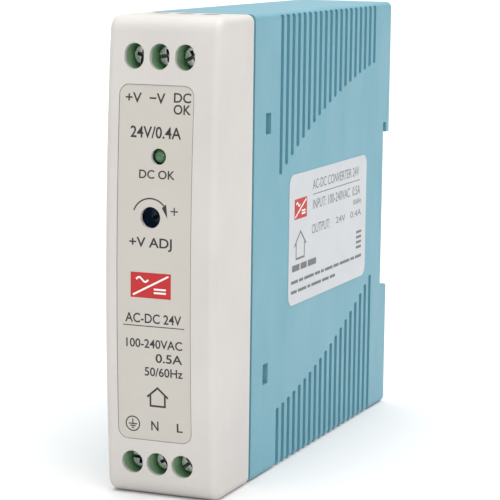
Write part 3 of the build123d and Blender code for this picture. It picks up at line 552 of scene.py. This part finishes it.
# Positions of the print are in millimetres from the middle of the front, or from the rail seat.
TRIMMER = (-1.8, 8.1)
ARROW_RADIUS = 3.55
ARROW_START, ARROW_HEAD = 160, 40  # degrees
ARROW_HALF_WIDTH = 0.55
arrow_tip = arc(TRIMMER, ARROW_RADIUS - 0.1, 0, 0, 1)[0]
arrow_back = [
    arc(TRIMMER, ARROW_RADIUS + side, ARROW_HEAD, ARROW_HEAD, 1)[0]
    for side in (-ARROW_HALF_WIDTH, ARROW_HALF_WIDTH)
]
panel_black = [
    words("+V", -7.25, -4.02, 29.16, 30.94),
    words("\u2212V", -2.43, 0.70, 29.10, 30.96),
    words("DC", 2.42, 5.83, 29.45, 31.16),
    words("OK", 2.42, 5.83, 27.30, 29.01),
    words("24V/0.4A", -6.10, 4.05, 22.80, 24.85),
    words("DC OK", -4.18, 2.98, 15.35, 16.88),
    stroke(arc(TRIMMER, ARROW_RADIUS, ARROW_START, ARROW_HEAD + 0.5), 0.26),
    filled(arrow_back[0], arrow_tip, arrow_back[1]),
    block(2.25, 3.75, 9.38, 9.62),
    block(2.88, 3.12, 8.75, 9.37),
    block(2.88, 3.12, 9.63, 10.25),
    words("+V ADJ", -6.02, 2.59, 2.62, 4.37),
    words("AC-DC 24V", -6.81, 4.56, -11.59, -9.87),
    stroke([(-7.24, -12.22), (5.16, -12.22)], 0.16),
    words("100-240VAC", -6.64, 4.74, -16.29, -14.70),
    words("0.5A", -0.67, 4.72, -18.94, -17.33),
    words("50/60Hz", -2.93, 4.79, -21.59, -20.00),
    words("N", -1.76, -0.26, -32.06, -30.28),
    words("L", 3.45, 4.63, -31.95, -30.33),
]
panel_black += house_symbol(-2.45, 1.75, -27.35, -23.85, 0.36)
panel_black += earth_symbol(-5.53, -31.10, 1.38, 0.22)
panel_sign = (-5.70, 2.45, -6.90, -2.15)
print_marks("front_print_black", panel_black, on_panel, black_ink)
print_marks("front_print_red", [block(*panel_sign)], on_panel, red_ink)
print_marks(
    "front_print_white", converter_symbol(*panel_sign, 0.34), on_panel_upper, white_ink
)

sticker_grey = [
    words("AC-DC CONVERTER 24V", -44.50, -16.10, 8.60, 10.55, 0.0),
    stroke([(-44.35, 7.55), (-15.35, 7.55)], 0.18),
    words("INPUT: 100-240VAC  0.5A", -44.25, -15.20, 4.50, 6.45, 0.0),
    words("50/60Hz", -19.60, -14.40, 2.50, 3.60, 0.0),
    words("OUTPUT:", -44.65, -33.90, -0.50, 1.40, 0.0),
    words("24V   0.4A", -30.20, -14.30, -0.15, 1.20, 0.0),
]
sticker_grey += house_symbol(-54.50, -47.90, -4.50, 0.90, 0.42)
sticker_grey += bars(-55.65, -41.90, -6.28, 1.30, (6, 5, 7), 0.9)
sticker_grey += bars(-56.15, -13.70, -9.05, 0.62, (5, 3, 7, 4, 2, 6, 4, 8, 3, 5), 0.8)
sticker_grey += bars(-56.05, -30.20, -11.05, 0.62, (4, 6, 2, 7, 5, 4), 0.8)
sticker_grey += [block(-17.2, -13.9, z, z + 0.55) for z in (-7.3, -6.2, -5.1, -4.0)]
sticker_sign = (-54.75, -47.75, 3.50, 7.60)
print_marks("sticker_print_grey", sticker_grey, on_sticker, grey_ink)
print_marks("sticker_print_red", [block(*sticker_sign)], on_sticker, red_ink)
print_marks(
    "sticker_print_white", converter_symbol(*sticker_sign, 0.36), on_sticker_upper, white_ink
)


def make_spring(turns=9, closed_turns=1.2, wire=0.2, rings=12, steps_per_turn=32):
    """The smooth coil spring, with closed ends, in the place of the plain one.

    wire is the radius of the wire in millimetres, and rings the corners round it.
    """
    low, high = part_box("latch_spring")
    centre = Vector(((low.x + high.x) / 2, (low.y + high.y) / 2, 0))
    radius = (high.x - low.x) / 2 - wire * MM
    foot, top = low.z + wire * MM, high.z - wire * MM
    total = turns + 2 * closed_turns
    steps = int(total * steps_per_turn)
    coil = bmesh.new()
    loops = []
    for i in range(steps + 1):
        turn = total * i / steps
        end = min(turn, total - turn)
        rise = 2 * wire * MM / (top - foot)
        if end < closed_turns:
            share = rise * end if turn < total / 2 else 1 - rise * end
        else:
            start = rise * closed_turns
            share = start + (1 - 2 * start) * (turn - closed_turns) / turns
        angle = 2 * math.pi * turn
        out = Vector((math.cos(angle), math.sin(angle), 0))
        spine = centre + out * radius + Vector((0, 0, foot + (top - foot) * share))
        loop = []
        for k in range(rings):
            a = 2 * math.pi * k / rings
            around = out * math.cos(a) + Vector((0, 0, math.sin(a)))
            loop.append(coil.verts.new(spine + around * wire * MM))
        loops.append(loop)
    for one, other in zip(loops, loops[1:]):
        for k in range(rings):
            coil.faces.new((one[k], one[(k + 1) % rings], other[(k + 1) % rings], other[k]))
    coil.faces.new(loops[0])
    coil.faces.new(loops[-1])
    bmesh.ops.recalc_face_normals(coil, faces=coil.faces[:])
    mesh = bpy.data.meshes.new("latch_spring_coil")
    coil.to_mesh(mesh)
    coil.free()
    for face in mesh.polygons:
        face.use_smooth = True
    mesh.materials.append(SLOTS["spring_steel"])
    spring = bpy.data.objects.new("latch_spring_coil", mesh)
    bpy.context.scene.collection.objects.link(spring)
    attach(spring, HOUSING)
    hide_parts("latch_spring")
    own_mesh(spring)


make_spring()


# ---------------------------------------------------------------- stage, light and camera
cover_low, cover_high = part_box("front_cover")
case_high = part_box("rear_case")[1]
floor_z = cad_bounds[0][2]
middle = Vector((0, (cover_low.y + case_high.y) / 2, (cover_low.z + cover_high.z) / 2))
FLOOR_SIZE = 30


def make_floor():
    """A large pale floor."""
    bpy.ops.mesh.primitive_plane_add(size=FLOOR_SIZE, location=(0, 0, floor_z))
    floor = bpy.context.object
    floor.name = "floor"
    material, tree, bsdf = new_material("floor_paper")
    where = add_node(tree, "ShaderNodeTexCoord").outputs["Object"]
    cloud = add_node(tree, "ShaderNodeTexNoise", Vector=where, Scale=4.0, Detail=2.0)
    tone = mix(tree, cloud.outputs["Fac"], (0.72, 0.72, 0.72), (0.75, 0.75, 0.75))
    tree.links.new(tone, bsdf.inputs["Base Color"])
    bsdf.inputs["Roughness"].default_value = 0.9
    bsdf.inputs["Specular IOR Level"].default_value = 0.1
    floor.data.materials.append(material)


def make_world(horizon, zenith):
    """Soft neutral studio light from all around, brighter from above."""
    world = bpy.data.worlds.new("studio")
    bpy.context.scene.world = world
    world.use_nodes = True
    tree = world.node_tree
    direction = add_node(tree, "ShaderNodeTexCoord").outputs["Generated"]
    parts = add_node(tree, "ShaderNodeSeparateXYZ", Vector=direction)
    strength = remap(tree, parts.outputs["Z"], 0.0, 1.0, horizon, zenith)
    tree.links.new(strength, tree.nodes["Background"].inputs["Strength"])
    tree.nodes["Background"].inputs["Color"].default_value = (1.0, 1.0, 1.0, 1.0)


def make_sun(name, towards, power, spread):
    """A soft far light from the direction of towards, spread over that many degrees."""
    data = bpy.data.lights.new(name, "SUN")
    data.energy = power
    data.angle = math.radians(spread)
    light = bpy.data.objects.new(name, data)
    light.rotation_euler = Vector(towards).to_track_quat("Z", "Y").to_euler()
    bpy.context.scene.collection.objects.link(light)


def make_camera(yaw, pitch, roll, distance, right_by, up_by, lens):
    """A camera that looks at the object's middle, then is moved sideways without turning."""
    data = bpy.data.cameras.new("camera")
    data.lens = lens
    data.sensor_width = 36.0
    data.clip_start = 0.01
    data.clip_end = 100
    camera = bpy.data.objects.new("camera", data)
    back = Vector(
        (math.sin(yaw) * math.cos(pitch), -math.cos(yaw) * math.cos(pitch), math.sin(pitch))
    )
    right = Vector((math.cos(yaw), math.sin(yaw), 0))
    up = back.cross(right)
    right_rolled = right * math.cos(roll) + up * math.sin(roll)
    up_rolled = up * math.cos(roll) - right * math.sin(roll)
    turn = Matrix((right_rolled, up_rolled, back)).transposed()
    place = middle + back * distance + right * right_by + up * up_by
    camera.matrix_world = Matrix.Translation(place) @ turn.to_4x4()
    bpy.context.scene.collection.objects.link(camera)
    bpy.context.scene.camera = camera


make_floor()
make_world(0.45, 1.50)
make_sun("overhead", (0.1, 0.0, 1.0), 1.5, 60)
make_sun("front_key", (0.70, -0.70, 0.35), 0.6, 30)
make_camera(
    yaw=math.radians(21.928),
    pitch=math.radians(8.59),
    roll=math.radians(0.731),
    distance=0.44664,
    right_by=-0.001878,
    up_by=-0.00448,
    lens=156.9,
)
bpy.context.scene.view_settings.view_transform = "Standard"
